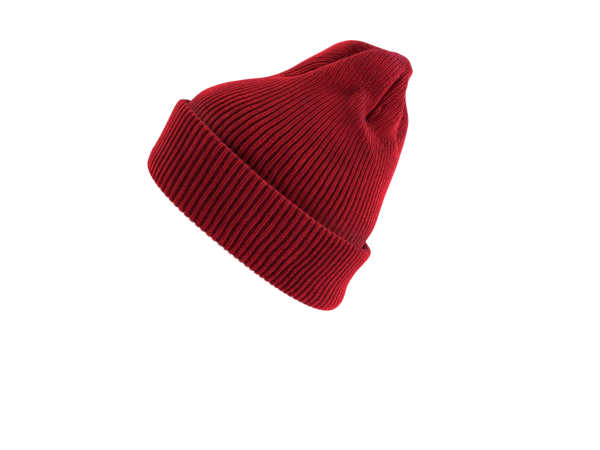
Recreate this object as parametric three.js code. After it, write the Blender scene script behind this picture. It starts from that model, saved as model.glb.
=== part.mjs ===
// A ribbed knit hat with a turned-up cuff, resting on its rim.
// Millimetres. Z is up, the front of the hat is at -Y and the wearer's left is at +X.
// Angles are degrees around the hat: 0 on the wearer's left, 90 at the back, -90 at the front.
import * as THREE from "three";

const RIBS = 100;              // ribs around the whole hat
const RELAXED_PITCH = 3.4;     // width of one rib where nothing stretches the knit
const RELIEF_SHARE = 0.13;     // height of a rib over its mean surface, as a share of its width
const CROWN_WALL = 3;          // thickness of the single knit of the crown
const COLUMNS_PER_RIB = 2;     // one column on the top of a rib and one in the groove beside it
const INNER_SHARE = 0.33;      // inner columns of a half panel for each rib of the panel
const PLAIN_COLUMNS = 50;      // columns around the cuff where no rib shows
const CUFF_HEIGHT = 67.8;      // top edge of the cuff, before its drop
const DROP_STARTS = 10;        // height above which the cuff's wall follows its top edge
const CUFF_RELIEF = 0.9;       // height of a rib over its mean surface on the stretched cuff
const CUFF_RIB_ANGLE = 29;     // where the middle rib of the near panel crosses the cuff
const STRAY_TOP = 200;         // height where the ribs of the crown no longer stray
const STRAY_FADES = 60;        // height over which that stops
const DENT_AT = 155;           // height of the dent
const DENT_REACHES = 17;       // how far from that height the ribs still bend aside
const FOOT_REACHES = 46;       // height below which the ribs of the cuff bend towards its foot
const UPPER_STRIPS = 9;        // strips of faces between the last level row and the end of each rib
const RING_STEPS = 360;        // steps that measure the way around a level section
const PATH_STEPS = 32;         // points that measure the distance to a fold
const SEARCH_STEPS = 40;       // halvings that find a level
const SAME_POINT = 1e4;        // points that agree to 1 / SAME_POINT mm are one vertex

const KNIT_RED = 0x7d1520;

// The crown is closed by three darts, so its ribs end in three panels.
// Ribs in a panel keep beside each other, and the outer ones run into the dart first.
const PANELS = table(["name", "ribs"], [
  ["near", 42],
  ["far back", 29],
  ["far front", 29],
]);

// Level sections of the crown's outer surface: the half width to either side,
// the foremost and rearmost points, and how square the oval is (2 is an ellipse).
const CROWN = table(["height", "front", "back", "side", "square"], [
  [8.3, -104.8, 103.2, 85.2, 2.25],
  [34, -109.2, 96.4, 84, 2.25],
  [60, -114.4, 93.8, 79.4, 2.25],
  [80, -112.2, 91.4, 81.8, 2.2],
  [98, -102, 85, 80.6, 2.15],
  [114, -88, 79, 73.8, 2.1],
  [130, -72.2, 74, 66.5, 2.1],
  [146, -62, 68.4, 58, 2.1],
  [162, -54.4, 61, 50.5, 2.1],
  [178, -46, 52, 45.5, 2.1],
  [194, -37, 39, 39, 2.1],
  [207, -22.6, 32, 31, 2.05],
  [216, -2, 28, 20, 2],
  [220.5, 17, 17, 0, 2],
]);

// Level rows that every rib of the crown has; above them the rows follow the end of the rib.
const LEVEL_ROWS = [8.3, 62, 82, 102, 120, 135];

// The middle rib of the near panel, which the near crease follows.
const MIDDLE_RIB = table(["height", "angle"], [
  [8, 27],
  [60, 26.5],
  [80, 26.8],
  [95, 27.5],
  [110, 26.8],
  [117, 25.9],
  [125, 23.9],
  [132, 22.8],
  [140, 22],
  [150, 22],
  [160, 22.5],
  [168, 23],
  [177, 25],
  [189, 32],
  [199, 39.5],
  [209, 46],
  [216, 50],
  [221, 53],
]);

// The stretch isn't even, so the ribs stray from even places. Ribs from the middle rib, and how far
// a rib strays, in ribs: on the crown, beside the dent, on the cuff, and more at the foot of the cuff.
const STRAY = table(["from", "crown", "dent", "cuff", "foot"], [
  [-50, 0, 0, -0.5, 0],
  [-35, -1.8, 0, -1, 0],
  [-21, -2.45, 0, -0.52, -0.4],
  [-17, -1.97, 0, -0.1, -0.55],
  [-13, -1.48, 0, 0.2, -0.8],
  [-8.5, -0.92, 0, 0.2, -0.85],
  [-4.4, -0.55, -0.3, 0.12, -1.25],
  [0, -0.5, -1.1, 0.16, -2],
  [4, -0.35, -1.5, -0.42, -2.3],
  [8, -0.15, -1.7, -1, -1.9],
  [14, 0.05, -1.5, -1.3, -1.1],
  [25, 0.1, 0, -1, -0.3],
  [50, 0, 0, -0.5, 0],
]);

// Folds of the crown: depth along the surface's normal (a ridge is above 0), half width,
// the shares of the fold's length over which it starts and ends, and its route.
const FOLDS = table(["name", "depth", "width", "start", "end", "route"], [
  ["front valley", -20, 9, 0.35, 0.05,
    [[-80, 136], [-70, 152], [-61, 168], [-54, 184], [-50, 199], [-70, 213]]],
  ["far front lobe", 4, 18, 0.3, 0.2,
    [[-118, 150], [-114, 170], [-108, 190], [-100, 207]]],
  ["near front lobe", 6, 10, 0.4, 0.15,
    [[-50, 144], [-40, 158], [-33, 172], [-26, 188], [-17, 203], [-5, 215]]],
  ["top lobe", 4, 10, 0.3, 0.3,
    [[-12, 188], [5, 194], [18, 200], [25, 207]]],
  ["tip", 2.2, 6.5, 0.3, 0.3,
    [[-42, 216], [-26, 217.7], [-8, 219.2], [20, 219.5]]],
  ["waist", -5.2, 10.5, 0.45, 0.2,
    [[-44, 153], [-30, 157], [-16, 163], [-5, 171], [1, 178], [6, 186]]],
  ["shoulder", 6, 5.5, 0.1, 0.5,
    [[1, 177], [5, 168], [8, 159], [13, 152], [20, 148], [29, 142], [42, 136], [58, 127]]],
  ["dent", -6, 7, 0.3, 0.4,
    [[12, 176], [17, 167], [24, 161], [36, 157], [47, 156], [58, 160], [66, 167]]],
  ["hollow", -4, 9, 0.3, 0.3,
    [[6, 182], [16, 180], [27, 180], [38, 186]]],
  ["near back lobe", 5, 7, 0.2, 0.2,
    [[40, 165], [46, 174], [49, 184], [50, 196], [54, 210]]],
  ["near crease", -5.5, 2.4, 0.08, 0.3,
    [[20, 160], [22, 168], [25, 177], [31, 189], [36, 199], [40, 209], [40, 216]]],
  ["short crease", -3, 2, 0.3, 0.4,
    [[27, 162], [29, 169], [32, 178], [36, 187]]],
  ["crease end", -2, 4, 0.3, 0.3,
    [[18, 163], [21, 161], [24, 159]]],
  ["back valley", -15, 9.5, 0.35, 0.35,
    [[78, 156], [77, 166], [76, 176], [78, 187], [84, 199], [90, 210]]],
  ["far back lobe", 3, 11, 0.3, 0.3,
    [[116, 142], [110, 158], [107, 172], [108, 188]]],
  ["far valley", -10, 10, 0.4, 0.15,
    [[205, 135], [205, 155], [205, 175], [205, 195], [205, 212]]],
]);

// Level sections of the cuff's outer surface.
const CUFF = table(["height", "front", "back", "side", "square"], [
  [0, -111.4, 109.8, 92.2, 2.3],
  [7, -113, 111.2, 92.8, 2.3],
  [14, -114.8, 110.4, 93, 2.3],
  [27, -116.2, 105.6, 93, 2.3],
  [42, -118.8, 103.6, 93, 2.3],
  [58, -121.8, 104.2, 93, 2.3],
  [68, -122.8, 104.2, 92.8, 2.3],
]);

// The top edge of the cuff isn't level: the angle around the hat, and how much lower it lies there.
const CUFF_DROP = table(["angle", "drop"], [
  [-180, 3], [-135, 3], [-105, 2.6], [-90, 1.8], [-84, 1.2], [-78, 0], [-72, -1.8], [-66, -3.2],
  [-60, -3.9], [-48, -4.2], [-36, -4.1], [-24, -3.2], [-12, -2.6], [0, -1.5], [12, -1.3],
  [24, -1], [36, -0.9], [48, -0.9], [60, -0.3], [66, 0.2], [72, 0.9], [78, 1.9], [84, 2.6],
  [90, 3.2], [98, 4.2], [108, 5.2], [135, 4.8], [180, 3],
]);

// The cuff's wall, from the outer edge of its flat foot up the outside, over the top edge and
// down behind it to the ledge that the crown stands on. Inset is measured from the outer surface.
const CUFF_WALL = table(["height", "inset", "relief"], [
  [0, 2.4, 0.3],
  [1.8, 0.5, 0.9],
  [8, 0, 1],
  [18, 0, 1],
  [32, 0, 1],
  [58, 0, 1],
  [65.4, 0.8, 1],
  [67.8, 3.2, 0.9],
  [66, 5.6, 0],
  [56, 6.3, 0],
  [8, 6.3, 0],
  [8, 10.1, 0],
  [1.6, 10.1, 0],
  [0, 8, 0],
]);

// Rows of a table as objects with the named columns.
function table(columns, rows) {
  return rows.map((row) => Object.fromEntries(columns.map((name, i) => [name, row[i]])));
}

function radians(degrees) {
  return (degrees * Math.PI) / 180;
}

function clamp(value, low, high) {
  return Math.min(Math.max(value, low), high);
}

function smooth(share) {
  const s = clamp(share, 0, 1);
  return s * s * (3 - 2 * s);
}

// The last place in [low, high] where test holds, if it holds at low and fails from some place on.
function lastWhere(test, low, high) {
  for (let step = 0; step < SEARCH_STEPS; step += 1) {
    const middle = (low + high) / 2;
    if (test(middle)) {
      low = middle;
    } else {
      high = middle;
    }
  }
  return low;
}

// A smooth row between the rows of a table: level 2.5 is halfway from row 2 to row 3.
function rowAt(rows, level) {
  const last = rows.length - 1;
  const i = clamp(Math.floor(level), 0, last - 1);
  const f = level - i;
  const row = {};
  for (const name of Object.keys(rows[0])) {
    const b = rows[i][name];
    const c = rows[i + 1][name];
    const a = i > 0 ? rows[i - 1][name] : 2 * b - c;
    const d = i < last - 1 ? rows[i + 2][name] : 2 * c - b;
    const curve = 2 * a - 5 * b + 4 * c - d + f * (3 * b - a - 3 * c + d);
    row[name] = b + 0.5 * f * (c - a + f * curve);
  }
  return row;
}

function levelOfHeight(rows, height) {
  return lastWhere((level) => rowAt(rows, level).height <= height, 0, rows.length - 1);
}

// The value of one column where another has a given value, on straight lines between the rows.
function valueWhere(rows, name, column, value) {
  const next = rows.findIndex((row) => row[column] >= value);
  if (next <= 0) {
    return next === 0 ? rows[0][name] : rows[rows.length - 1][name];
  }
  const low = rows[next - 1];
  const high = rows[next];
  const share = (value - low[column]) / (high[column] - low[column]);
  return low[name] + share * (high[name] - low[name]);
}

// How far a rib strays from its even place, in ribs.
function stray(rib, name) {
  const half = RIBS / 2;
  const turned = rib - PANELS[0].ribs / 2 + half;
  return valueWhere(STRAY, name, "from", turned - Math.floor(turned / RIBS) * RIBS - half);
}

// The point of a level section at an angle in radians.
function sectionPoint(section, angle, inset = 0) {
  const power = 2 / section.square;
  const c = Math.cos(angle);
  const s = Math.sin(angle);
  const halfLength = (section.back - section.front) / 2 - inset;
  const halfWidth = section.side - inset;
  return new THREE.Vector3(
    Math.sign(c) * Math.abs(c) ** power * halfWidth,
    (section.front + section.back) / 2 + Math.sign(s) * Math.abs(s) ** power * halfLength,
    section.height,
  );
}

// The way around a level section, which turns an angle into a share of the whole way and back.
class Ring {
  constructor(section) {
    this.way = [0];
    let before = sectionPoint(section, -Math.PI);
    for (let i = 1; i <= RING_STEPS; i += 1) {
      const point = sectionPoint(section, -Math.PI + (2 * Math.PI * i) / RING_STEPS);
      this.way.push(this.way[i - 1] + point.distanceTo(before));
      before = point;
    }
    this.length = this.way[RING_STEPS];
  }

  shareAt(angle) {
    const step = ((angle + Math.PI) / (2 * Math.PI)) * RING_STEPS;
    const i = clamp(Math.floor(step), 0, RING_STEPS - 1);
    return (this.way[i] + (step - i) * (this.way[i + 1] - this.way[i])) / this.length;
  }

  angleAt(share) {
    const target = (share - Math.floor(share)) * this.length;
    let low = 0;
    let high = RING_STEPS;
    while (high - low > 1) {
      const middle = (low + high) >> 1;
      if (this.way[middle] <= target) {
        low = middle;
      } else {
        high = middle;
      }
    }
    const f = (target - this.way[low]) / (this.way[high] - this.way[low]);
    return -Math.PI + (2 * Math.PI * (low + f)) / RING_STEPS;
  }
}

function crownBase(level, angle) {
  return sectionPoint(rowAt(CROWN, level), angle);
}

// The outward normal of the crown before it is folded. It is level at the lower edge.
function crownNormal(level, angle) {
  const turn = 1e-3;
  const rise = 2e-3;
  const top = CROWN.length - 1;
  const around = crownBase(level, angle + turn).sub(crownBase(level, angle - turn));
  const upper = crownBase(Math.min(level + rise, top - rise / 10), angle);
  const up = upper.sub(crownBase(Math.max(level - rise, 0), angle));
  const normal = around.cross(up);
  normal.z *= Math.min(level, 1);
  return normal.length() > 1e-9 ? normal.normalize() : new THREE.Vector3(0, 0, 1);
}

// The points of a fold's route on the crown, each with how much of the fold's depth is there.
function foldPath(fold) {
  const route = table(["angle", "height"], fold.route);
  const path = [];
  for (let i = 0; i < PATH_STEPS; i += 1) {
    const share = i / (PATH_STEPS - 1);
    const place = rowAt(route, share * (route.length - 1));
    const level = levelOfHeight(CROWN, place.height);
    path.push({
      point: crownBase(level, radians(place.angle)),
      weight: smooth(Math.min(share / fold.start, (1 - share) / fold.end)),
    });
  }
  return path;
}

const FOLD_PATHS = FOLDS.map((fold) => ({ depth: fold.depth, width: fold.width, path: foldPath(fold) }));

// How far the folds move a point of the crown along its normal.
function foldHeight(base) {
  let height = 0;
  for (const fold of FOLD_PATHS) {
    let most = 0;
    for (const { point, weight } of fold.path) {
      const near = point.distanceTo(base) / fold.width;
      most = Math.max(most, weight * Math.exp(-near * near));
    }
    height += fold.depth * most;
  }
  return height;
}

// The share of the ribs that still fit around the crown at a level, once they are relaxed.
function ribShare(level) {
  const ring = new Ring(rowAt(CROWN, level));
  return Math.min(1, ring.length / (RIBS * RELAXED_PITCH));
}

// The level where a rib ends in a dart. Side is 0 at the middle of its panel and 1 at the edge.
function endLevel(side) {
  const top = CROWN.length - 1;
  return lastWhere((level) => ribShare(level) >= Math.abs(side) - 1e-9, 2, top);
}

// A point of the crown. Side runs from -1 to 1 across the panel, lift is measured along the normal.
function crownPoint(panel, side, level, lift) {
  const section = rowAt(CROWN, level);
  const ring = new Ring(section);
  const left = Math.max(Math.min(1, ring.length / (RIBS * RELAXED_PITCH)), 1e-6);
  const rib = panel.first + (panel.ribs / 2) * (1 + clamp(side / left, -1, 1));
  const beside = (section.height - DENT_AT) / DENT_REACHES;
  const strayed = rib + stray(rib, "crown") * smooth((STRAY_TOP - section.height) / STRAY_FADES)
    + stray(rib, "dent") * Math.exp(-beside * beside);
  const middle = ring.shareAt(radians(valueWhere(MIDDLE_RIB, "angle", "height", section.height)));
  const angle = ring.length > 0 ? ring.angleAt((strayed - PANELS[0].ribs / 2) / RIBS + middle) : 0;
  const base = sectionPoint(section, angle);
  const pitch = Math.max(RELAXED_PITCH, ring.length / RIBS);
  const height = foldHeight(base) + lift.mean + lift.rib * RELIEF_SHARE * pitch;
  return base.addScaledVector(crownNormal(level, angle), height);
}

// A closed body built from rows of vertices. Every vertex keeps its place along its row.
class Shell {
  constructor() {
    this.positions = [];
    this.faces = [];
    this.known = new Map();
  }

  vertex(point) {
    const key = [point.x, point.y, point.z].map((value) => Math.round(value * SAME_POINT)).join(" ");
    if (!this.known.has(key)) {
      this.known.set(key, this.positions.length / 3);
      this.positions.push(point.x, point.y, point.z);
    }
    return this.known.get(key);
  }

  face(a, b, c, flip) {
    if (a !== b && b !== c && c !== a) {
      this.faces.push(...(flip ? [a, c, b] : [a, b, c]));
    }
  }

  // Faces between two rows, which may have different numbers of vertices.
  strip(lower, upper, flip = false) {
    let i = 0;
    let j = 0;
    while (i < lower.length - 1 || j < upper.length - 1) {
      const lowerNext = i < lower.length - 1 ? (lower[i].place + lower[i + 1].place) / 2 : Infinity;
      const upperNext = j < upper.length - 1 ? (upper[j].place + upper[j + 1].place) / 2 : Infinity;
      if (lowerNext <= upperNext) {
        this.face(lower[i].vertex, lower[i + 1].vertex, upper[j].vertex, flip);
        i += 1;
      } else {
        this.face(lower[i].vertex, upper[j + 1].vertex, upper[j].vertex, flip);
        j += 1;
      }
    }
  }

  mesh(name) {
    const geometry = new THREE.BufferGeometry();
    geometry.setAttribute("position", new THREE.Float32BufferAttribute(this.positions, 3));
    geometry.setIndex(this.faces);
    geometry.computeVertexNormals();
    const material = new THREE.MeshStandardMaterial({ color: KNIT_RED, roughness: 0.95, metalness: 0 });
    const mesh = new THREE.Mesh(geometry, material);
    mesh.name = name;
    return mesh;
  }
}

// The panels with the number of the first rib of each.
function numberedPanels() {
  let first = 0;
  return PANELS.map((panel) => {
    const numbered = { ...panel, first };
    first += panel.ribs;
    return numbered;
  });
}

// Evenly spaced places across a panel, from -1 to 1.
function placesAcross(count) {
  return Array.from({ length: count + 1 }, (unused, i) => (2 * i) / count - 1);
}

// Places where the columns of any panel end in a dart, so that both sides of it share vertices.
function dartPlaces(countOf) {
  const all = new Set();
  for (const panel of PANELS) {
    for (const place of placesAcross(countOf(panel))) {
      all.add(Math.round(Math.abs(place) * 1e6) / 1e6);
    }
  }
  const half = [...all].sort((a, b) => a - b);
  return [...half.slice(1).reverse().map((place) => -place), ...half];
}

// One side of the crown's wall, from its lower edge to the tip. Returns its lowest row.
function addCrownSide(shell, columnsOf, liftOf, flip) {
  const levels = LEVEL_ROWS.map((height) => levelOfHeight(CROWN, height));
  levels[0] = 0;
  const base = levels[levels.length - 1];
  const darts = dartPlaces(columnsOf);
  const bottom = [];
  for (const panel of numberedPanels()) {
    const sides = placesAcross(columnsOf(panel));
    const ends = sides.map((side) => endLevel(side));
    const rowOf = (levelFor) => sides.map((side, i) => {
      const rib = panel.first + (panel.ribs / 2) * (1 + side);
      const vertex = shell.vertex(crownPoint(panel, side, levelFor(i), liftOf(rib)));
      return { place: side, rib, vertex };
    });
    const rows = levels.map((level) => rowOf(() => level));
    for (let k = 1; k < UPPER_STRIPS; k += 1) {
      rows.push(rowOf((i) => base + ((ends[i] - base) * k) / UPPER_STRIPS));
    }
    rows.push(darts.map((side) => ({
      place: side,
      vertex: shell.vertex(crownPoint(panel, side, endLevel(side), liftOf(0))),
    })));
    for (let k = 1; k < rows.length; k += 1) {
      shell.strip(rows[k - 1], rows[k], flip);
    }
    bottom.push(...rows[0].slice(0, -1).map(({ rib, vertex }) => ({ place: rib / RIBS, vertex })));
  }
  bottom.push({ place: 1, vertex: bottom[0].vertex });
  return bottom;
}

// The crown: one thickness of ribbed knit, open below.
function makeCrown() {
  const shell = new Shell();
  const outerColumns = (panel) => panel.ribs * COLUMNS_PER_RIB;
  const innerColumns = (panel) => 2 * Math.round(panel.ribs * INNER_SHARE);
  const outerLift = (rib) => ({ mean: 0, rib: -Math.cos(2 * Math.PI * rib) });
  const innerLift = () => ({ mean: -CROWN_WALL, rib: 0 });
  const outer = addCrownSide(shell, outerColumns, outerLift, false);
  const inner = addCrownSide(shell, innerColumns, innerLift, true);
  shell.strip(inner, outer);
  return shell.mesh("crown");
}

// A point of the cuff at a row of its wall and a share of the way around.
function cuffPoint(wall, share) {
  const section = rowAt(CUFF, levelOfHeight(CUFF, wall.height));
  const ring = new Ring(section);
  const rib = share * RIBS;
  const strayed = rib + stray(rib, "cuff") + stray(rib, "foot") * smooth(1 - wall.height / FOOT_REACHES);
  const middle = ring.shareAt(radians(CUFF_RIB_ANGLE));
  const angle = ring.angleAt((strayed - PANELS[0].ribs / 2) / RIBS + middle);
  const raised = wall.relief * CUFF_RELIEF * -Math.cos(2 * Math.PI * rib);
  const point = sectionPoint(section, angle, wall.inset - raised);
  const drop = valueWhere(CUFF_DROP, "drop", "angle", (angle * 180) / Math.PI);
  point.z = wall.height - drop * clamp((wall.height - DROP_STARTS) / (CUFF_HEIGHT - DROP_STARTS), 0, 1);
  return point;
}

// The cuff: the lower edge of the hat turned up outside the crown, twice as thick as it.
function makeCuff() {
  const shell = new Shell();
  const loops = CUFF_WALL.map((wall) => {
    const count = wall.relief > 0 ? RIBS * COLUMNS_PER_RIB : PLAIN_COLUMNS;
    const loop = Array.from({ length: count }, (unused, i) => ({
      place: i / count,
      vertex: shell.vertex(cuffPoint(wall, i / count)),
    }));
    loop.push({ place: 1, vertex: loop[0].vertex });
    return loop;
  });
  loops.forEach((loop, i) => shell.strip(loop, loops[(i + 1) % loops.length]));
  return shell.mesh("cuff");
}

const hat = new THREE.Group();
hat.add(makeCrown(), makeCuff());

// The hat stands with the middle of its box over the origin.
const box = new THREE.Box3().setFromObject(hat);
const middle = box.getCenter(new THREE.Vector3());
hat.position.set(-middle.x, -middle.y, -box.min.z);

export default hat;
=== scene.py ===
"""Looks of a deep red ribbed knit hat with a turned-up cuff, standing on its rim.

The knit is modelled rib by rib: every rib is two raised wales with a fine line between them, and
a groove on either side. Lengths are millimetres until a mesh is made. Z is up, the front of the
hat is at -Y and the wearer's left is at +X, which is the side that the camera sees. Angles are
degrees around the hat: 0 on the wearer's left, 90 at the back, -90 at the front.
"""
import math

import bmesh
import bpy
import numpy as np
from mathutils import Matrix, Vector

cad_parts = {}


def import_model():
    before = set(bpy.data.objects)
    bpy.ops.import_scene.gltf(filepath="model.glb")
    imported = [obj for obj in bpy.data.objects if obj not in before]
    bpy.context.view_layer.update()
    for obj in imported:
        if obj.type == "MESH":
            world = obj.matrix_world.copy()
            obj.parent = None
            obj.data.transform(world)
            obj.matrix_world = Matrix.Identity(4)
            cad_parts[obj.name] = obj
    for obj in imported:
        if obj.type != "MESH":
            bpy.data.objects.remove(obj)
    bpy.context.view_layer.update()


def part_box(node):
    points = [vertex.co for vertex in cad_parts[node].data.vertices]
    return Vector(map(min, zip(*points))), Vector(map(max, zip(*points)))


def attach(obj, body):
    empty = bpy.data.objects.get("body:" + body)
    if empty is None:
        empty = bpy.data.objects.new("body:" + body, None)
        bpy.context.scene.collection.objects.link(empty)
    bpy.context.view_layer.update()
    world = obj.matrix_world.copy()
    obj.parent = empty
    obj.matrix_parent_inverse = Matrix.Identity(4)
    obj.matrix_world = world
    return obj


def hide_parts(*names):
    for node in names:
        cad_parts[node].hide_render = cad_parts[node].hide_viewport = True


MM = 0.001

# The knit
RIBS = 100                 # ribs around the whole hat
RELAXED_PITCH = 3.4        # width of one rib where nothing stretches the knit
STRETCHED_PITCH = 6.2      # width of one rib where the grooves are fully open
COURSE = 1.8               # height of one row of stitches
CROWN_WALL = 3.0           # thickness of the single knit of the crown
CROWN_GROOVE = 0.36        # depth of the grooves of the crown, as a share of a rib's width
CUFF_GROOVE = 2.0          # depth of the grooves of the stretched cuff
INSIDE_GROOVE = 0.12       # depth of the grooves on the inside of the crown, as a share
CREST_FLAT = 0.35          # share of the depth of the crown's grooves beside the top of the cuff
CREST_PAINTED_SHADE = 0.8           # painted shade: the yarn there is darkened as if the cuff's edge shaded it
CREST_CLEAR = (68, 92)     # heights between which that ends
DART_RELIEF = 0.75         # height of the relief where the ribs end in a dart
DART_FADES = 0.8           # levels below a dart over which the relief turns into that
MERGE_WITHIN = 2e-6        # points closer than this are one, in metres
NO_LENGTH = 1e-7           # edges shorter than this are taken out, in metres

# Columns of vertices across one rib, from groove to groove: place on the knit's own scale, share
# of the rib's width where it is relaxed and where it is stretched, height relaxed and stretched
HALF_RIB = (
    (0.0, 0.0, 0.0, 0.15, 0.0),
    (0.11, 0.06, 0.16, 0.25, 0.03),
    (0.20, 0.12, 0.245, 0.55, 0.22),
    (0.27, 0.18, 0.30, 0.9, 0.8),
    (0.36, 0.28, 0.37, 1.0, 1.0),
)
RIB_COLUMNS = np.array([
    *HALF_RIB,
    (0.5, 0.5, 0.5, 0.45, 0.5),
    *[(1 - place, 1 - relaxed, 1 - stretched, low, high)
      for place, relaxed, stretched, low, high in HALF_RIB[:0:-1]],
])
INSIDE_COLUMNS = np.array([
    (0.0, 0.0, 0.0, 1.0, 1.0),
    (0.25, 0.25, 0.25, 0.5, 0.5),
    (0.5, 0.5, 0.5, 0.0, 0.0),
    (0.75, 0.75, 0.75, 0.5, 0.5),
])
PLACE, RELAXED_SHARE, STRETCHED_SHARE, RELAXED_HEIGHT, STRETCHED_HEIGHT = range(5)

# The crown is closed by three darts, so its ribs end in three panels: name and number of ribs
PANELS = (("near", 42), ("far back", 29), ("far front", 29))
NEAR_MIDDLE = PANELS[0][1] / 2       # the middle rib of the near panel

# Level sections of the crown: height, front, back, side, squareness
CROWN = np.array([
    (8.3, -104.8, 103.2, 85.2, 2.25),
    (34, -109.2, 96.4, 84.0, 2.25),
    (60, -114.4, 93.8, 79.4, 2.25),
    (80, -112.2, 91.4, 81.8, 2.2),
    (98, -102.0, 85.0, 80.6, 2.15),
    (114, -88.0, 79.0, 73.8, 2.1),
    (130, -72.2, 74.0, 66.5, 2.1),
    (146, -62, 68.4, 58, 2.1),
    (162, -54.4, 61, 50.5, 2.1),
    (178, -46, 52, 45.5, 2.1),
    (194, -37, 39, 39, 2.1),
    (207, -22.6, 32, 31, 2.05),
    (216, -2, 28, 20, 2),
    (220.5, 17, 17, 0, 2),
])
HEIGHT, FRONT, BACK = range(3)       # columns of a section table
LOWER_ROWS = (8.3, 24, 42, 54, 60)   # level rows that the cuff hides
ROW_STEP = 2.6             # height between the level rows that show
INSIDE_ROWS = (80, 98, 114, 125)     # level rows of the inside, above those that the cuff hides
SHOULDER = 135             # level rows end here, and the rows above follow the end of each rib
UPPER_STRIPS = 46          # strips of faces from there to the end of each rib
INSIDE_STRIPS = 18         # the same on the inside

# The middle rib of the near panel: height, angle
MIDDLE_RIB = np.array([
    (8, 27), (60, 26.5), (80, 26.8), (95, 27.5), (110, 26.8), (117, 25.9), (125, 23.9), (132, 22.8),
    (140, 22), (150, 22), (160, 22.5), (168, 23), (177, 25), (189, 32), (199, 39.5), (209, 46), (216, 50),
    (221, 53),
])

# The stretch isn't even, so the ribs stray from even places. Ribs from the middle rib, and how far
# the rib strays, in ribs: on the crown, beside the dent, on the cuff, and more at the foot of the cuff
STRAY = np.array([
    (-50, 0, 0, -0.5, 0),
    (-35, -1.8, 0, -1.0, 0),
    (-21, -2.45, 0, -0.52, -0.4),
    (-17, -1.97, 0, -0.1, -0.55),
    (-13, -1.48, 0, 0.2, -0.8),
    (-8.5, -0.92, 0, 0.2, -0.85),
    (-4.4, -0.55, -0.3, 0.12, -1.25),
    (0, -0.5, -1.1, 0.16, -2.0),
    (4, -0.35, -1.5, -0.42, -2.3),
    (8, -0.15, -1.7, -1.0, -1.9),
    (14, 0.05, -1.5, -1.3, -1.1),
    (25, 0.1, 0, -1.0, -0.3),
    (50, 0, 0, -0.5, 0),
])
FROM_MIDDLE, ON_CROWN, BY_DENT, ON_CUFF, AT_FOOT = range(5)
STRAY_TOP = 200            # height where the ribs of the crown no longer stray
STRAY_FADES = 60           # height over which that stops
DENT_AT = 155              # height of the dent, and how far from it the ribs still bend aside
DENT_REACHES = 17
FOOT_REACHES = 46          # height below which the ribs of the cuff bend towards its foot

# Small bends of each rib: how often they repeat around the hat, how far they go in ribs, and how
# they shift from one level to the next and from the start
BENDS = ((7, 0.04, 0.9, 0.0), (19, 0.03, -1.7, 1.0), (43, 0.03, 2.6, 2.0))
CUFF_BENDS = (4, 0.9)      # level of the crown whose bends the cuff's foot has, and what each level adds

# Folds: name, depth (a ridge is above 0), half width, shares of the length over which the fold
# starts and ends, route of (angle, height)
FOLDS = (
    ("front valley", -20, 9, 0.35, 0.05,
     ((-80, 136), (-70, 152), (-61, 168), (-54, 184), (-50, 199), (-70, 213))),
    ("far front lobe", 4, 18, 0.3, 0.2, ((-118, 150), (-114, 170), (-108, 190), (-100, 207))),
    ("near front lobe", 6, 10, 0.4, 0.15,
     ((-50, 144), (-40, 158), (-33, 172), (-26, 188), (-17, 203), (-5, 215))),
    ("top lobe", 4, 10, 0.3, 0.3, ((-12, 188), (5, 194), (18, 200), (25, 207))),
    ("tip", 2.2, 6.5, 0.3, 0.3, ((-42, 216), (-26, 217.7), (-8, 219.2), (20, 219.5))),
    ("waist", -5.2, 10.5, 0.45, 0.2, ((-44, 153), (-30, 157), (-16, 163), (-5, 171), (1, 178), (6, 186))),
    ("shoulder", 6, 5.5, 0.1, 0.5,
     ((1, 177), (5, 168), (8, 159), (13, 152), (20, 148), (29, 142), (42, 136), (58, 127))),
    ("dent", -6, 7, 0.3, 0.4,
     ((12, 176), (17, 167), (24, 161), (36, 157), (47, 156), (58, 160), (66, 167))),
    ("hollow", -4, 9, 0.3, 0.3, ((6, 182), (16, 180), (27, 180), (38, 186))),
    ("near back lobe", 5, 7, 0.2, 0.2, ((40, 165), (46, 174), (49, 184), (50, 196), (54, 210))),
    ("near crease", -5.5, 2.4, 0.08, 0.3,
     ((20, 160), (22, 168), (25, 177), (31, 189), (36, 199), (40, 209), (40, 216))),
    ("short crease", -3, 2, 0.3, 0.4, ((27, 162), (29, 169), (32, 178), (36, 187))),
    ("crease end", -2, 4, 0.3, 0.3, ((18, 163), (21, 161), (24, 159))),
    ("back valley", -15, 9.5, 0.35, 0.35,
     ((78, 156), (77, 166), (76, 176), (78, 187), (84, 199), (90, 210))),
    ("far back lobe", 3, 11, 0.3, 0.3, ((116, 142), (110, 158), (107, 172), (108, 188))),
    ("far valley", -10, 10, 0.4, 0.15,
     ((205, 135), (205, 155), (205, 175), (205, 195), (205, 212))),
)
PATH_STEPS = 32            # points that measure the distance to a fold

# Level sections of the cuff: height, front, back, side, squareness
CUFF = np.array([
    (0, -111.4, 109.8, 92.2, 2.3),
    (7, -113, 111.2, 92.8, 2.3),
    (14, -114.8, 110.4, 93, 2.3),
    (27, -116.2, 105.6, 93, 2.3),
    (42, -118.8, 103.6, 93, 2.3),
    (58, -121.8, 104.2, 93, 2.3),
    (68, -122.8, 104.2, 92.8, 2.3),
])
CUFF_HEIGHT = 67.8
CUFF_RIB_ANGLE = 29        # where the middle rib of the near panel crosses the cuff

# The top edge of the cuff isn't level: angle around the hat, how much lower than CUFF_HEIGHT it lies
CUFF_DROP = np.array([
    (-180, 3), (-135, 3), (-105, 2.6), (-90, 1.8), (-84, 1.2), (-78, 0), (-72, -1.8), (-66, -3.2),
    (-60, -3.9), (-48, -4.2), (-36, -4.1), (-24, -3.2), (-12, -2.6), (0, -1.5), (12, -1.3),
    (24, -1), (36, -0.9), (48, -0.9), (60, -0.3), (66, 0.2), (72, 0.9), (78, 1.9), (84, 2.6),
    (90, 3.2), (98, 4.2), (108, 5.2), (135, 4.8), (180, 3),
])
DROP_STARTS = 10           # height above which the cuff's wall follows its top edge
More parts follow.
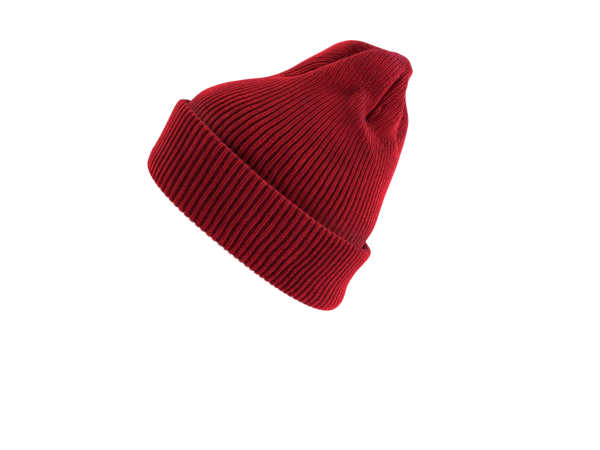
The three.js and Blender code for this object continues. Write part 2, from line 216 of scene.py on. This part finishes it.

# The cuff's wall: height, inset from the outer surface, share of the rib relief, brightness of the yarn
# (painted light round the foot, darker over the top edge and down its inside), strips to the next row
CUFF_WALL = np.array([
    (1.2, 8.6, 0.3, 1.8, 4),
    (1.1, 3.6, 0.4, 2.2, 4),
    (1.8, 1.6, 0.6, 2.2, 3),
    (3.4, 0.5, 0.85, 1.75, 3),
    (7.0, 0.0, 1.0, 1.3, 5),
    (18, 0.0, 1.0, 1.0, 8),
    (36, 0.0, 1.0, 1.0, 12),
    (58, 0.0, 1.0, 1.0, 5),
    (63.0, 0.3, 1.0, 1.0, 3),
    (65.8, 0.8, 0.9, 0.95, 3),
    (67.2, 2.1, 0.35, 0.82, 3),
    (67.4, 3.4, 0.3, 0.78, 3),
    (66.2, 5.0, 0.5, 0.8, 2),
    (62, 6.2, 0.6, 0.8, 3),
    (50, 6.4, 0.3, 1.0, 2),
    (9, 6.4, 0.0, 1.0, 1),
    (7.4, 7.4, 0.0, 1.0, 1),
    (7.4, 9.6, 0.2, 1.0, 1),
    (5.0, 10.2, 0.3, 1.2, 2),
    (2.0, 9.8, 0.4, 1.5, 2),
])
WALL_HEIGHT, WALL_INSET, WALL_RELIEF, WALL_PAINTED_SHADING, WALL_STRIPS = range(5)
WALL_INSIDE = 6.4          # inset of the inside of the cuff
BACK_HUG = 3.2             # how much further in the top of the cuff reaches at the back, to the crown

# Colours, in linear light
WHITE = (1.0, 1.0, 1.0)
WARM = (1.0, 0.92, 0.8)
WALE_RED = (0.252, 0.0049, 0.0098)
# painted shade: the yarn of the grooves, darkened where shade falls in them
GROOVE_PAINTED_SHADE_RED = (0.043, 0.0006, 0.0034)
SHEEN_PINK = (1.0, 0.2, 0.55)
FLOOR_WHITE = (0.2, 0.2, 0.2)

WALE_MIDDLE = 0.15         # how far the middle of a wale lies from the middle of its rib, in ribs
STITCH_SLANT = 4.5         # how far the legs of a stitch rise away from its wale, in courses a rib
FIBRE_GRAIN = 1500.0       # how fine the noises of the yarn are, as repeats in a metre
SPECK_GRAIN = 650.0
STITCH_GRAIN = 420.0
PATCH_GRAIN = 38.0
MOST_NOISE = (0.3, 0.7)    # the range that most of a noise lies in

# Brightness of the yarn, from darkest to brightest: painted shade and light on the stitches and the line
# between wales, and the yarn's own uneven dye and fibres
STITCH_PAINTED_SHADING = (0.82, 1.14)          # painted shade between the legs of a stitch, up to painted light on the middle of a leg
LINE_PAINTED_SHADE = 0.45                     # painted shade on the line between the two wales of a rib
PATCH_TONES = (0.84, 1.14)           # where the dye is uneven
YARN_TONES = (0.85, 1.15)            # of single stitches and fibres
SPECKS_SHOW = 0.42                   # how much of the wales' colour the specks in the grooves have

FLOOR_HALF = 60.0          # half the width of the floor, in metres
FLOOR_GLOW = 0.88          # the floor is lit from below too, so that it stays white far away
ROOM_FADES = (-0.3, 0.3)   # directions along X between which the room goes from white to dim
ROOM_WHITE = 1.4           # its brightness behind the hat
ROOM_DIM = 0.1             # its brightness on the camera's side
TINT_FADES = (0.2, 0.5)    # directions along Z between which its tint comes in, with none below
ROOM_TINT = (0.94, 1.03, 1.9)

# The lamps, in metres: name, place, width, power in watts, colour
LAMPS = (
    ("key_softbox", (0.2, -0.8, 1.2), 0.5, 21.5, WARM),
    ("front_softbox", (-0.1, -1.3, 0.2), 0.7, 60, WARM),
    ("back_softbox", (-0.5, 1.1, 0.7), 0.8, 42, WHITE),
    ("side_softbox", (0.5, 1.2, 0.6), 0.5, 36, WHITE),
)
LAMPS_LOOK_AT = (0, 0, 0.1)

# The camera: it looks from the wearer's left, turned so that the hat leans as it does when worn
CAMERA_AT = (800.0, 36.0, 198.0)
CAMERA_LOOKS_AT = (0.0, 36.0, 41.0)
CAMERA_ROLL = 39.0
MM_PER_PIXEL = 0.94        # at the hat's middle
IMAGE_WIDTH = 600
SENSOR_MM = 36.0

ROUND = np.linspace(-math.pi, math.pi, 1441)   # angles that measure the way around a section


def between(a, b, c, d, share):
    """A smooth way from b to c, bent by the values before and after them."""
    bend = 2 * a - 5 * b + 4 * c - d + share * (3 * b - a - 3 * c + d)
    return b + 0.5 * share * (c - a + share * bend)


def rows_at(table, level):
    """Smooth rows between the rows of a table: level 2.5 is halfway from row 2 to row 3."""
    level = np.clip(np.asarray(level, float), 0, len(table) - 1 - 1e-9)
    i = np.floor(level).astype(int)
    f = (level - i)[..., None]
    b = table[i]
    c = table[i + 1]
    a = np.where((i > 0)[..., None], table[np.maximum(i - 1, 0)], 2 * b - c)
    d = np.where((i < len(table) - 2)[..., None], table[np.minimum(i + 2, len(table) - 1)], 2 * c - b)
    return between(a, b, c, d, f)


def level_of_height(table, height, steps=2000):
    """The level of a table where a height is reached."""
    levels = np.linspace(0, len(table) - 1, steps)
    heights = np.maximum.accumulate(rows_at(table, levels)[:, HEIGHT])
    return np.interp(height, heights, levels)


def section_points(sections, angle, inset=0.0):
    """Points of level sections at angles in radians, inset from their outline."""
    height, front, back, side, square = np.moveaxis(sections, -1, 0)
    power = 2 / square
    c = np.cos(angle)
    s = np.sin(angle)
    x = np.sign(c) * np.abs(c) ** power * (side - inset)
    y = (front + back) / 2 + np.sign(s) * np.abs(s) ** power * ((back - front) / 2 - inset)
    return np.stack(np.broadcast_arrays(x, y, height), -1)


class Rings:
    """The way around the level sections of a table, as a share of the whole way."""

    def __init__(self, table, steps=1400):
        self.levels = np.linspace(0, len(table) - 1, steps)
        sections = rows_at(table, self.levels)
        points = section_points(sections[:, None, :], ROUND[None, :])
        lengths = np.linalg.norm(np.diff(points, axis=1), axis=-1)
        way = np.concatenate([np.zeros((steps, 1)), np.cumsum(lengths, axis=1)], axis=1)
        self.length = way[:, -1]
        self.share = way / np.maximum(self.length, 1e-9)[:, None]

    def angle(self, share, level):
        """The angle at a share of the way around, at each level."""
        share, level = np.broadcast_arrays(share % 1.0, level)
        place = np.interp(level, self.levels, np.arange(len(self.levels)))
        row = np.clip(np.floor(place).astype(int), 0, len(self.levels) - 2)
        out = np.empty(share.shape)
        for r in np.unique(row):
            here = row == r
            low = np.interp(share[here], self.share[r], ROUND)
            high = np.interp(share[here], self.share[r + 1], ROUND)
            # The last section is a point, where all angles are alike.
            high = np.where(self.length[r + 1] > 0.5, high, low)
            out[here] = low + (high - low) * (place[here] - r)
        return out

    def share_of(self, angle, level):
        """The share of the way around at one angle for each level."""
        at = np.array([np.interp(a, ROUND, s) for a, s in zip(angle, self.share)])
        return np.interp(level, self.levels, at)


CROWN_RINGS = Rings(CROWN)
CUFF_RINGS = Rings(CUFF)
# Share of the ribs that still fit around each level, once they are relaxed
RIB_SHARE = np.minimum.accumulate(np.minimum(1, CROWN_RINGS.length / (RIBS * RELAXED_PITCH)))
DART_START = CROWN_RINGS.levels[np.where(RIB_SHARE >= 1 - 1e-9)[0].max()]


def middle_share(level):
    """The share of the way around where the middle rib of the near panel lies."""
    heights = rows_at(CROWN, CROWN_RINGS.levels)[:, HEIGHT]
    angles = np.radians(np.interp(heights, *MIDDLE_RIB.T))
    return CROWN_RINGS.share_of(angles, level)


def end_level(side):
    """The level where a rib ends in a dart. Side is 0 mid panel and 1 at its edge."""
    side = np.abs(side)
    return np.where(side < 1 - 1e-9, np.interp(-side, -RIB_SHARE, CROWN_RINGS.levels), DART_START)


def stray(rib, column):
    """How far the stretch of the knit moves a rib from its even place, in ribs."""
    from_middle = (rib - NEAR_MIDDLE + RIBS / 2) % RIBS - RIBS / 2
    return np.interp(from_middle, STRAY[:, FROM_MIDDLE], STRAY[:, column])


def wander(rib, level):
    """Small bends of each rib, in ribs. They repeat after all the ribs."""
    turn = 2 * math.pi * rib / RIBS
    return sum(size * np.sin(repeats * turn + rise * level + start) for repeats, size, rise, start in BENDS)


def crown_normals(level, angle):
    """Outward normals of the crown before it is folded."""
    turn = 1e-3
    rise = 2e-3
    top = len(CROWN) - 1

    def at(one_level, one_angle):
        return section_points(rows_at(CROWN, one_level), one_angle)

    around = at(level, angle + turn) - at(level, angle - turn)
    up = at(np.minimum(level + rise, top - rise / 10), angle) - at(np.maximum(level - rise, 0), angle)
    normal = np.cross(around, up)
    # The lowest row is moved sideways only, so that the inside ends as low as the outside.
    normal[..., 2] *= np.minimum(level, 1)
    length = np.linalg.norm(normal, axis=-1, keepdims=True)
    return np.where(length > 1e-9, normal / np.maximum(length, 1e-12), (0.0, 0.0, 1.0))


def smooth(share):
    """A share held between 0 and 1, which starts and ends gently."""
    share = np.clip(share, 0, 1)
    return share * share * (3 - 2 * share)


def fold_height(base):
    """How far the folds move points of the crown along its normal."""
    total = np.zeros(base.shape[:-1])
    share = np.linspace(0, 1, PATH_STEPS)
    for _, depth, width, start, end, route in FOLDS:
        place = rows_at(np.array(route, float), share * (len(route) - 1))
        level = level_of_height(CROWN, place[:, 1])
        path = section_points(rows_at(CROWN, level), np.radians(place[:, 0]))
        weight = smooth(np.minimum(share / start, (1 - share) / end))
        most = np.zeros(total.shape)
        for point, there in zip(path, weight):
            near = ((base - point) ** 2).sum(-1) / width ** 2
            most = np.maximum(most, there * np.exp(-near))
        total += depth * most
    return total


def grid_normals(points):
    """Normals of a grid of points, from its neighbours."""
    around = np.gradient(points, axis=1)
    up = np.gradient(points, axis=0)
    normal = np.cross(around, up)
    return normal / np.maximum(np.linalg.norm(normal, axis=-1, keepdims=True), 1e-12)


def crown_pitch(level):
    """The width of one rib at a level of the crown."""
    return np.maximum(RELAXED_PITCH, np.interp(level, CROWN_RINGS.levels, CROWN_RINGS.length) / RIBS)


def crown_points(first, ribs, side, level, lift):
    """The folded crown before its ribs are raised, and its normals."""
    length = np.interp(level, CROWN_RINGS.levels, CROWN_RINGS.length)
    left = np.maximum(np.minimum(1, length / (RIBS * RELAXED_PITCH)), 1e-6)
    rib = first + ribs / 2 * (1 + np.clip(side / left, -1, 1))
    height = rows_at(CROWN, level)[..., HEIGHT]
    strays = stray(rib, ON_CROWN) * smooth((STRAY_TOP - height) / STRAY_FADES)
    strays = strays + stray(rib, BY_DENT) * np.exp(-((height - DENT_AT) / DENT_REACHES) ** 2)
    rib = rib + wander(rib, level) + strays
    angle = CROWN_RINGS.angle((rib - NEAR_MIDDLE) / RIBS + middle_share(level), level)
    base = section_points(rows_at(CROWN, level), angle)
    normal = crown_normals(level, angle)
    return base + normal * (fold_height(base) + lift)[..., None], normal


class Cloth:
    """A mesh put together from rows of points. Each point has a rib and a course."""

    def __init__(self):
        self.points = []
        self.knit = []
        self.relief = []
        self.painted_shading = []
        self.faces = []
        self.count = 0

    def add(self, points, rib, course, relief, painted_shading=1.0):
        """Adds a grid of points and returns their numbers."""
        shape = points.shape[:2]
        self.points.append(points.reshape(-1, 3))
        self.knit.append(np.stack(np.broadcast_arrays(rib, course), -1).reshape(-1, 2))
        self.relief.append(np.broadcast_to(relief, shape).reshape(-1))
        # Each point carries its painted light and shade: 1 where none is painted.
        self.painted_shading.append(np.broadcast_to(painted_shading, shape).reshape(-1))
        numbers = self.count + np.arange(shape[0] * shape[1]).reshape(shape)
        self.count += shape[0] * shape[1]
        return numbers

    def quads(self, numbers, flip=False):
        """Faces between the points of a grid."""
        a = numbers[:-1, :-1]
        b = numbers[:-1, 1:]
        c = numbers[1:, 1:]
        d = numbers[1:, :-1]
        faces = np.stack([a, b, c, d] if not flip else [a, d, c, b], -1).reshape(-1, 4)
        self.faces.extend(faces.tolist())

    def strip(self, lower, lower_places, upper, upper_places, flip=False):
        """Triangles between two rows with different numbers of points."""
        i = 0
        j = 0
        while i < len(lower) - 1 or j < len(upper) - 1:
            lower_next = sum(lower_places[i:i + 2]) / 2 if i < len(lower) - 1 else math.inf
            upper_next = sum(upper_places[j:j + 2]) / 2 if j < len(upper) - 1 else math.inf
            if lower_next <= upper_next:
                face = [int(lower[i]), int(lower[i + 1]), int(upper[j])]
                i += 1
            else:
                face = [int(lower[i]), int(upper[j + 1]), int(upper[j])]
                j += 1
            self.faces.append(face[::-1] if flip else face)

    def make(self, name, shift):
        """The Blender object, in metres, with its doubled points merged."""
        points = (np.concatenate(self.points) + shift) * MM
        knit = np.concatenate(self.knit)
        mesh = bpy.data.meshes.new(name)
        mesh.from_pydata(points.tolist(), [], self.faces)
        layer = mesh.uv_layers.new(name="knit")
        corners = np.zeros(len(mesh.loops), int)
        mesh.loops.foreach_get("vertex_index", corners)
        layer.data.foreach_set("uv", knit[corners].astype(np.float32).ravel())
        # The relief and the painted light and shade go to the shader as attributes.
        for attribute, parts in (("relief", self.relief), ("painted_shading", self.painted_shading)):
            values = np.concatenate(parts).astype(np.float32)
            mesh.attributes.new(attribute, "FLOAT", "POINT").data.foreach_set("value", values)
        edit = bmesh.new()
        edit.from_mesh(mesh)
        bmesh.ops.remove_doubles(edit, verts=edit.verts, dist=MERGE_WITHIN)
        bmesh.ops.dissolve_degenerate(edit, edges=edit.edges, dist=NO_LENGTH)
        edit.to_mesh(mesh)
        edit.free()
        mesh.polygons.foreach_set("use_smooth", np.ones(len(mesh.polygons), bool))
        piece = bpy.data.objects.new(name, mesh)
        bpy.context.scene.collection.objects.link(piece)
        return piece


def courses(points):
    """How many rows of stitches lie below each point of a grid."""
    steps = np.linalg.norm(np.diff(points, axis=0), axis=-1)
    return np.concatenate([np.zeros((1, points.shape[1])), np.cumsum(steps, axis=0)]) / COURSE


def across(ribs, columns, kind):
    """One kind of value for each column of a row of ribs, and for the groove that ends the row."""
    return np.append(np.tile(columns[:, kind], ribs), columns[0, kind])


def across_stretched(ribs, columns, relaxed, stretched, pitch):
    """The same between a relaxed and a stretched value, for a width of the ribs."""
    stretch = np.clip((pitch - RELAXED_PITCH) / (STRETCHED_PITCH - RELAXED_PITCH), 0, 1)
    at_rest = across(ribs, columns, relaxed)
    return at_rest + (across(ribs, columns, stretched) - at_rest) * stretch


def ribs_before(ribs, columns):
    """The number of whole ribs before each column of a row of ribs."""
    return np.append(np.repeat(np.arange(ribs), len(columns)), ribs)


def rib_places(ribs, columns, pitch):
    """Where the columns of a row of ribs lie, in ribs, for a width of the ribs."""
    share = across_stretched(ribs, columns, RELAXED_SHARE, STRETCHED_SHARE, pitch)
    return ribs_before(ribs, columns) + share


def knit_places(ribs, columns):
    """The same columns on the knit's own scale, which doesn't stretch."""
    return ribs_before(ribs, columns) + across(ribs, columns, PLACE)


def crest_clear(level):
    """How far a level of the crown is clear of the top of the cuff, as a share."""
    low, high = CREST_CLEAR
    return smooth((rows_at(CROWN, level)[..., HEIGHT] - low) / (high - low))


def dart_places(columns):
    """Sides, from -1 to 1, where the columns of any panel end in a dart."""
    all_sides = set()
    for _, ribs in PANELS:
        for side in 2 * rib_places(ribs, columns, RELAXED_PITCH) / ribs - 1:
            all_sides.add(round(abs(float(side)), 6))
    half = np.array(sorted(all_sides))
    return np.concatenate([-half[:0:-1], half])


def crown_side(cloth, columns, row_heights, strips, lift, groove, flip):
    """One side of the crown's wall. Returns the numbers and places of its lowest row."""
    base = level_of_height(CROWN, SHOULDER)
    lower_levels = level_of_height(CROWN, np.array(row_heights, float))
    darts = dart_places(columns)
    first = 0
    bottom = []
    places = []
    for _, ribs in PANELS:
        ends = end_level(2 * rib_places(ribs, columns, RELAXED_PITCH) / ribs - 1)
        upper = base + (ends - base) * (np.arange(strips)[:, None] / strips)
        level = np.concatenate([np.repeat(lower_levels[:, None], len(ends), axis=1), upper])
        pitch = crown_pitch(level)
        rib = rib_places(ribs, columns, pitch)
        side = 2 * rib / ribs - 1
        points, normal = crown_points(first, ribs, side, level, lift)
        course = courses(points)
        to_dart = (ends[None, :] - level) / DART_FADES
        profile = across_stretched(ribs, columns, RELAXED_HEIGHT, STRETCHED_HEIGHT, pitch)
        height = DART_RELIEF + (profile - DART_RELIEF) * smooth(to_dart)
        clear = crest_clear(level)
        depth = (groove * pitch * (CREST_FLAT + (1 - CREST_FLAT) * clear))[..., None]
        # Painted shade on the yarn beside the top of the cuff.
        painted_shading = CREST_PAINTED_SHADE + (1 - CREST_PAINTED_SHADE) * clear
        raised = points - normal * depth / 2 + grid_normals(points) * depth * height[..., None]
        numbers = cloth.add(raised, first + knit_places(ribs, columns), course, height, painted_shading)
        cloth.quads(numbers, flip)
        dart_level = end_level(darts)
        dart, dart_normal = crown_points(first, ribs, darts[None, :], dart_level[None, :], lift)
        dart = dart + dart_normal * groove * RELAXED_PITCH * (DART_RELIEF - 0.5)
        dart_rib = first + ribs / 2 * (1 + darts)
        dart_course = np.interp(darts, side[-1], course[-1]) + 1.0
        row = cloth.add(dart, dart_rib[None, :], dart_course[None, :], DART_RELIEF)
        cloth.strip(numbers[-1], side[-1], row[0], darts, flip)
        bottom.extend(numbers[0][:-1])
        places.extend((first + rib[0][:-1]) / RIBS)
        first += ribs
    return bottom + [bottom[0]], places + [1.0]


def make_crown(shift):
    """The body of the hat, ribbed outside and inside."""
    cloth = Cloth()
    shown = np.arange(LOWER_ROWS[-1] + ROW_STEP, SHOULDER, ROW_STEP)
    outer = crown_side(cloth, RIB_COLUMNS, [*LOWER_ROWS, *shown], UPPER_STRIPS, 0.0, CROWN_GROOVE, False)
    inside = [*LOWER_ROWS, *INSIDE_ROWS]
    inner = crown_side(cloth, INSIDE_COLUMNS, inside, INSIDE_STRIPS, -CROWN_WALL, INSIDE_GROOVE, True)
    cloth.strip(inner[0], inner[1], outer[0], outer[1])
    return cloth.make("knit_crown", shift)


def cuff_rows():
    """The rows of the cuff's wall with the strips between them filled in, as a closed loop."""
    rows = []
    count = len(CUFF_WALL)
    for i, row in enumerate(CUFF_WALL):
        before = CUFF_WALL[i - 1]
        after = CUFF_WALL[(i + 1) % count]
        beyond = CUFF_WALL[(i + 2) % count]
        strips = int(row[WALL_STRIPS])
        rows.extend(between(before, row, after, beyond, share) for share in np.arange(strips) / strips)
    return np.array(rows)


def make_cuff(shift):
    """The turned-up edge of the hat, with its ribs running over the top edge and under the foot."""
    cloth = Cloth()
    rows = cuff_rows()
    rib = rib_places(RIBS, RIB_COLUMNS, STRETCHED_PITCH)
    place = knit_places(RIBS, RIB_COLUMNS)
    profile = across(RIBS, RIB_COLUMNS, STRETCHED_HEIGHT)
    height = rows[:, WALL_HEIGHT][:, None]
    level = level_of_height(CUFF, np.clip(height, 0, CUFF[-1, HEIGHT]))
    angles = np.full(len(CUFF_RINGS.levels), math.radians(CUFF_RIB_ANGLE))
    middle = CUFF_RINGS.share_of(angles, level)
    low = smooth(1 - height / FOOT_REACHES)
    bends = wander(rib, CUFF_BENDS[0] + CUFF_BENDS[1] * level)
    turn = rib + bends + stray(rib, ON_CUFF) + stray(rib, AT_FOOT) * low
    angle = CUFF_RINGS.angle((turn - NEAR_MIDDLE) / RIBS + middle, level)
    inset = rows[:, WALL_INSET][:, None]
    inside = smooth(inset / WALL_INSIDE) * smooth((height - CUFF_HEIGHT / 2) / (CUFF_HEIGHT / 4))
    hug = BACK_HUG * inside * np.maximum(np.sin(angle), 0) ** 4
    points = section_points(rows_at(CUFF, level), angle, inset + hug)
    drop = np.interp(np.degrees(angle), *CUFF_DROP.T)
    points[..., 2] = height - drop * np.clip((height - DROP_STARTS) / (CUFF_HEIGHT - DROP_STARTS), 0, 1)
    closed = np.concatenate([points[-1:], points, points[:1]])
    outward = grid_normals(closed)[1:-1]
    course = courses(points)
    relief = rows[:, WALL_RELIEF][:, None]
    # Painted light round the foot; the yarn is darker over the top edge and its inside.
    painted_shading = rows[:, WALL_PAINTED_SHADING][:, None]
    depth = CUFF_GROOVE * relief * (profile - 0.5)
    raised = points + outward * depth[..., None]
    numbers = cloth.add(raised, place, course, 1 - relief * (1 - profile), painted_shading)
    cloth.quads(numbers)
    join = cloth.add(raised[:1], place, course[-1:] + 1, 1 - relief[:1] * (1 - profile), painted_shading[:1])
    cloth.quads(np.concatenate([numbers[-1:], join]))
    return cloth.make("knit_cuff", shift)


def node(tree, kind, inputs=None, **settings):
    """A shader node with its settings and the values or sockets of its inputs."""
    made = tree.nodes.new(kind)
    for name, value in settings.items():
        setattr(made, name, value)
    for key, value in (inputs or {}).items():
        if isinstance(value, bpy.types.NodeSocket):
            tree.links.new(value, made.inputs[key])
        else:
            made.inputs[key].default_value = value
    return made


def math_node(tree, operation, *values):
    """The result of one sum on values or sockets."""
    return node(tree, "ShaderNodeMath", dict(enumerate(values)), operation=operation).outputs[0]


def ramp(tree, value, low, high, to_low, to_high):
    """A value turned from one range into another, and held within it."""
    inputs = {"Value": value, "From Min": low, "From Max": high, "To Min": to_low, "To Max": to_high}
    return node(tree, "ShaderNodeMapRange", inputs).outputs[0]


def noise(tree, where, scale, detail, roughness):
    """An even noise from 0 to 1, fixed to the piece."""
    inputs = {"Vector": where, "Scale": scale, "Detail": detail, "Roughness": roughness}
    return node(tree, "ShaderNodeTexNoise", inputs).outputs["Fac"]


def wave(tree, turns):
    """A wave from -1 to 1 that repeats with every whole turn."""
    return math_node(tree, "SINE", math_node(tree, "MULTIPLY", turns, 2 * math.pi))


def knit_material(name):
    """Red yarn: stitches up both wales of every rib, painted shade in the grooves, on the line between the
    wales and between stitch legs, each point's painted light and shade, uneven dye and a pink bloom.
    """
    material = bpy.data.materials.new(name)
    material.use_nodes = True
    tree = material.node_tree
    shader = tree.nodes["Principled BSDF"]
    place = node(tree, "ShaderNodeUVMap", uv_map="knit").outputs["UV"]
    split = node(tree, "ShaderNodeSeparateXYZ", {0: place})
    rib, course = split.outputs["X"], split.outputs["Y"]
    relief = node(tree, "ShaderNodeAttribute", attribute_name="relief").outputs["Fac"]
    # The painted light and shade that each point carries.
    painted_shading = node(tree, "ShaderNodeAttribute", attribute_name="painted_shading").outputs["Fac"]
    where = node(tree, "ShaderNodeTexCoord").outputs["Object"]

    # Distance from the line between the two wales of a rib: a wale lies around WALE_MIDDLE.
    phase = math_node(tree, "FRACT", rib)
    aside = math_node(tree, "ABSOLUTE", math_node(tree, "SUBTRACT", phase, 0.5))
    from_wale = math_node(tree, "ABSOLUTE", math_node(tree, "SUBTRACT", aside, WALE_MIDDLE))
    legs = wave(tree, math_node(tree, "MULTIPLY_ADD", from_wale, STITCH_SLANT, course))
    holes = ramp(tree, wave(tree, course), -0.6, 0.7, 0.6, 1.0)
    # Painted shade on the line between the wales, darkest at the holes.
    line = math_node(tree, "MULTIPLY", ramp(tree, aside, 0.02, 0.085, 1.0, 0.0), holes)

    fibre = noise(tree, where, FIBRE_GRAIN, 2.0, 0.7)
    patches = noise(tree, where, PATCH_GRAIN, 3.0, 0.55)
    stitches = noise(tree, where, STITCH_GRAIN, 1.0, 0.5)

    # Purl stitches show as specks in the grooves.
    specks = ramp(tree, noise(tree, where, SPECK_GRAIN, 1.0, 0.5), 0.42, 0.6, 0.0, SPECKS_SHOW)
    # Painted shade: the grooves' dark colour comes in where the relief is low, broken by the specks.
    shade = math_node(tree, "MAXIMUM", ramp(tree, relief, 0.25, 0.95, 0.0, 1.0), specks)
    yarn = node(tree, "ShaderNodeMix", {"Factor": shade}, data_type="RGBA")
    yarn.inputs["A"].default_value = (*GROOVE_PAINTED_SHADE_RED, 1)
    yarn.inputs["B"].default_value = (*WALE_RED, 1)
    # Painted shade between the stitch legs and on the line, and each point's painted light and shade, scale
    # the colour.
    strength = ramp(tree, legs, -1.0, 1.0, *STITCH_PAINTED_SHADING)
    for value in (
        ramp(tree, line, 0.0, 1.0, 1.0, LINE_PAINTED_SHADE),
        painted_shading,
        ramp(tree, patches, *MOST_NOISE, *PATCH_TONES),
        ramp(tree, stitches, *MOST_NOISE, *YARN_TONES),
        ramp(tree, fibre, *MOST_NOISE, *YARN_TONES),
    ):
        strength = math_node(tree, "MULTIPLY", strength, value)
    scaled = {0: yarn.outputs["Result"], "Scale": strength}
    dyed = node(tree, "ShaderNodeVectorMath", scaled, operation="SCALE")
    tree.links.new(dyed.outputs[0], shader.inputs["Base Color"])

    height = math_node(tree, "MULTIPLY_ADD", legs, 0.4, math_node(tree, "MULTIPLY", fibre, 0.5))
    height = math_node(tree, "SUBTRACT", height, line)
    bump = node(tree, "ShaderNodeBump", {"Height": height, "Strength": 0.8, "Distance": 0.0005})
    tree.links.new(bump.outputs["Normal"], shader.inputs["Normal"])
    shader.inputs["Roughness"].default_value = 0.9
    shader.inputs["Specular IOR Level"].default_value = 0.06
    shader.inputs["Sheen Weight"].default_value = 0.09
    shader.inputs["Sheen Roughness"].default_value = 0.35
    shader.inputs["Sheen Tint"].default_value = (*SHEEN_PINK, 1)
    return material


def make_floor():
    """A plain white floor, far wider than the picture."""
    mesh = bpy.data.meshes.new("floor")
    sides = ((-1, -1), (1, -1), (1, 1), (-1, 1))
    corners = [(x * FLOOR_HALF, y * FLOOR_HALF, 0) for x, y in sides]
    mesh.from_pydata(corners, [], [(0, 1, 2, 3)])
    floor = bpy.data.objects.new("floor", mesh)
    bpy.context.scene.collection.objects.link(floor)
    material = bpy.data.materials.new("floor_white")
    material.use_nodes = True
    shader = material.node_tree.nodes["Principled BSDF"]
    shader.inputs["Base Color"].default_value = (*FLOOR_WHITE, 1)
    shader.inputs["Roughness"].default_value = 1.0
    shader.inputs["Specular IOR Level"].default_value = 0.0
    shader.inputs["Emission Color"].default_value = (*WHITE, 1)
    shader.inputs["Emission Strength"].default_value = FLOOR_GLOW
    mesh.materials.append(material)


def add_light(name, at, size, power, colour):
    """A square softbox that looks at the hat."""
    data = bpy.data.lights.new(name, "AREA")
    data.shape = "SQUARE"
    data.size = size
    data.energy = power
    data.color = colour
    light = bpy.data.objects.new(name, data)
    bpy.context.scene.collection.objects.link(light)
    light.location = at
    light.rotation_euler = (Vector(LAMPS_LOOK_AT) - Vector(at)).to_track_quat("-Z", "Y").to_euler()


def make_lights():
    """A white room that is dimmer on the camera's side, and the lamps."""
    world = bpy.data.worlds.new("white_studio")
    world.use_nodes = True
    tree = world.node_tree
    split = node(tree, "ShaderNodeSeparateXYZ", {0: node(tree, "ShaderNodeTexCoord").outputs["Generated"]})
    bright = ramp(tree, split.outputs["X"], *ROOM_FADES, ROOM_WHITE, ROOM_DIM)
    tree.links.new(bright, tree.nodes["Background"].inputs["Strength"])
    tinted = ramp(tree, split.outputs["Z"], *TINT_FADES, 0.0, 1.0)
    colour = node(tree, "ShaderNodeMix", {"Factor": tinted}, data_type="RGBA")
    colour.inputs["A"].default_value = (*WHITE, 1)
    colour.inputs["B"].default_value = (*ROOM_TINT, 1)
    tree.links.new(colour.outputs["Result"], tree.nodes["Background"].inputs["Color"])
    bpy.context.scene.world = world
    for lamp in LAMPS:
        add_light(*lamp)


def make_camera(shift):
    """The photograph's view: level with the wearer's left side, turned by the roll."""
    at = Vector(CAMERA_AT) + Vector(shift)
    target = Vector(CAMERA_LOOKS_AT) + Vector(shift)
    look = (target - at).normalized()
    level_right = look.cross(Vector((0, 0, 1))).normalized()
    level_up = level_right.cross(look)
    roll = math.radians(CAMERA_ROLL)
    right = level_right * math.cos(roll) + level_up * math.sin(roll)
    up = level_up * math.cos(roll) - level_right * math.sin(roll)
    data = bpy.data.cameras.new("camera")
    data.sensor_width = SENSOR_MM
    data.lens = SENSOR_MM * (target - at).length / MM_PER_PIXEL / IMAGE_WIDTH
    camera = bpy.data.objects.new("camera", data)
    bpy.context.scene.collection.objects.link(camera)
    turn = Matrix((right, up, -look)).transposed().to_4x4()
    camera.matrix_world = Matrix.Translation(at * MM) @ turn
    bpy.context.scene.camera = camera


def dress(piece, replaced, material):
    """Gives a piece its material, hangs it on the root and hides the part of the frame that it replaces."""
    piece.data.materials.append(material)
    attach(piece, "root")
    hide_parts(replaced)


def main():
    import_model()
    # The tables keep the hat's own Y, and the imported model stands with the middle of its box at 0.
    low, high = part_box("cuff")
    cuff_middle = (CUFF[:, FRONT].min() + CUFF[:, BACK].max()) / 2
    shift = ((low.x + high.x) / 2 / MM, (low.y + high.y) / 2 / MM - cuff_middle, 0.0)
    make_camera(shift)
    dress(make_crown(shift), "crown", knit_material("crown_knit_yarn"))
    dress(make_cuff(shift), "cuff", knit_material("cuff_knit_yarn"))
    make_floor()
    make_lights()
    bpy.context.scene.view_settings.view_transform = "Standard"


main()
